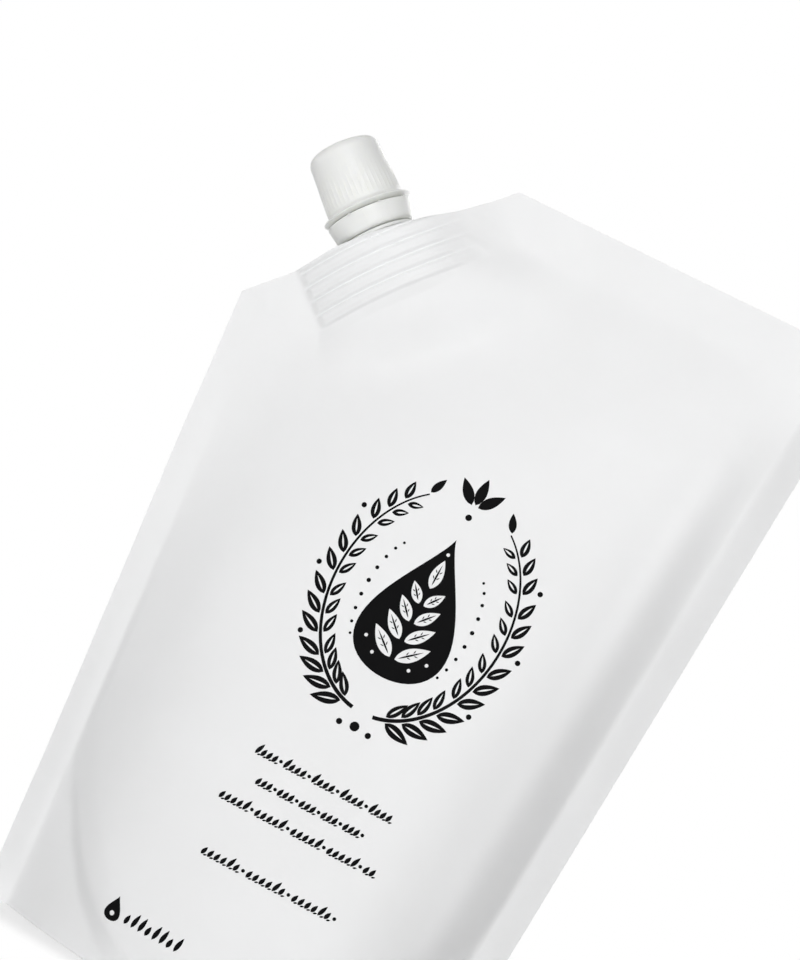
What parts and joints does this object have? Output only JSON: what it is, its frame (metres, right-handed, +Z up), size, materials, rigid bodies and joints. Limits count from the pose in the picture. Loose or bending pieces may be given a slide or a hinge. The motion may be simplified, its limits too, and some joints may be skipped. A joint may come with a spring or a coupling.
{
  "type": "hand lotion refill pouch",
  "caption": "Stand-up film refill pouch of hand lotion with a gusseted base, flat seals and a screw-capped spout sealed into its cut corner.",
  "frame": {"origin": "middle of the flat on the underside of the filled gusset, on the surface that the pouch stands on", "axes": "+Z up along the pouch's height, +X across its width away from the spout's corner, front panel towards -Y"},
  "size_m": [0.1364, 0.0608, 0.199],
  "materials": {
    "film": "matt white laminated film with a soft satin sheen",
    "spout_plastic": "natural polyethylene, satin",
    "ring_plastic": "natural polyethylene, satin",
    "cap_plastic": "natural polyethylene, satin"
  },
  "bodies": {
    "root": {"pouch": "film", "spout": "spout_plastic"},
    "ring": {"tamper_ring": "ring_plastic"},
    "cap": {"cap": "cap_plastic"}
  },
  "joints": [
    {"name": "cap_turn", "type": "hinge", "parent": "root", "child": "ring", "pos_m": [-0.04281, 0, 0.1745], "axis": [-0.7666, 0, 0.6421], "range_deg": [0, 540]},
    {"name": "cap_lift", "type": "slide", "parent": "ring", "child": "cap", "axis": [-0.7666, 0, 0.6421], "range_m": [0, 0.0045]}
  ],
  "couplings": [
    {"joint": "cap_lift", "follows": "cap_turn", "m_per_rad": 0.00047746}
  ]
}
